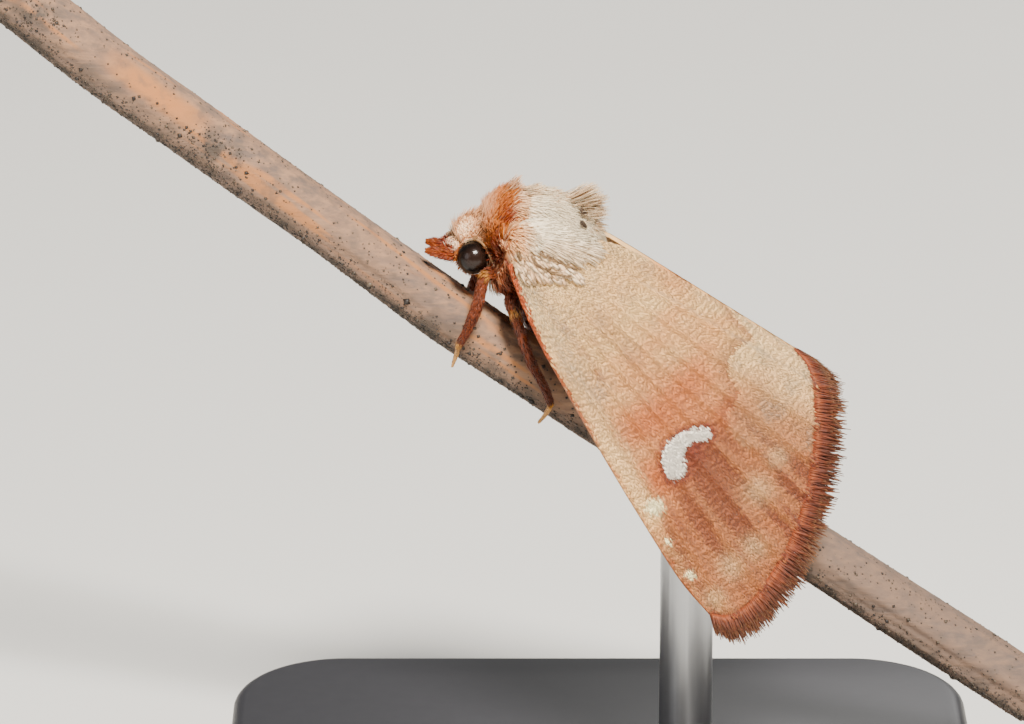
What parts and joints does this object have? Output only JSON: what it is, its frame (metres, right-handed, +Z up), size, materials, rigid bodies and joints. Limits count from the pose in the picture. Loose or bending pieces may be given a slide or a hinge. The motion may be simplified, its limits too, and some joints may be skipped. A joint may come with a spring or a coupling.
{
  "type": "moth model",
  "caption": "Life-size model of a resting moth, wings folded like a roof, gripping a sloping cut stem on a small display stand.",
  "frame": {"origin": "centre of the underside of the stand's base", "axes": "+Z up; the stem falls towards +X, with the moth's head at the -X end and the moth's left side towards -Y"},
  "size_m": [0.0274, 0.015, 0.0239],
  "materials": {
    "head_scales": "rough cream and orange hair scales",
    "eye": "glossy dark compound eye",
    "palp_scales": "brick red scales, pale at the tip",
    "antenna": "ringed pale and dark",
    "collar_hair": "orange to brick red hair scales",
    "thorax_hair": "satin cream hair scales",
    "abdomen_scales": "matt pale brown scales",
    "forewing_scales": "powdery ochre and rufous scales with a white kidney mark",
    "hindwing_scales": "matt grey-brown scales",
    "leg_scales": "brick brown scales with pale rings",
    "stem_bark": "dry ribbed stem, pinkish grey with dark specks",
    "stand_base": "satin black",
    "stand_rod": "brushed"
  },
  "bodies": {
    "root": {"head": "head_scales", "eye_left": "eye", "eye_right": "eye", "palp_left": "palp_scales", "palp_right": "palp_scales", "antenna_left": "antenna", "antenna_right": "antenna", "collar": "collar_hair", "thorax": "thorax_hair", "tegula_left": "thorax_hair", "tegula_right": "thorax_hair", "abdomen": "abdomen_scales", "forewing_left": "forewing_scales", "forewing_right": "forewing_scales", "hindwing_left": "hindwing_scales", "hindwing_right": "hindwing_scales", "foreleg_left": "leg_scales", "foreleg_right": "leg_scales", "midleg_left": "leg_scales", "midleg_right": "leg_scales", "hindleg_left": "leg_scales", "hindleg_right": "leg_scales", "perch_stem": "stem_bark", "stand_base": "stand_base", "stand_rod": "stand_rod"}
  },
  "joints": []
}
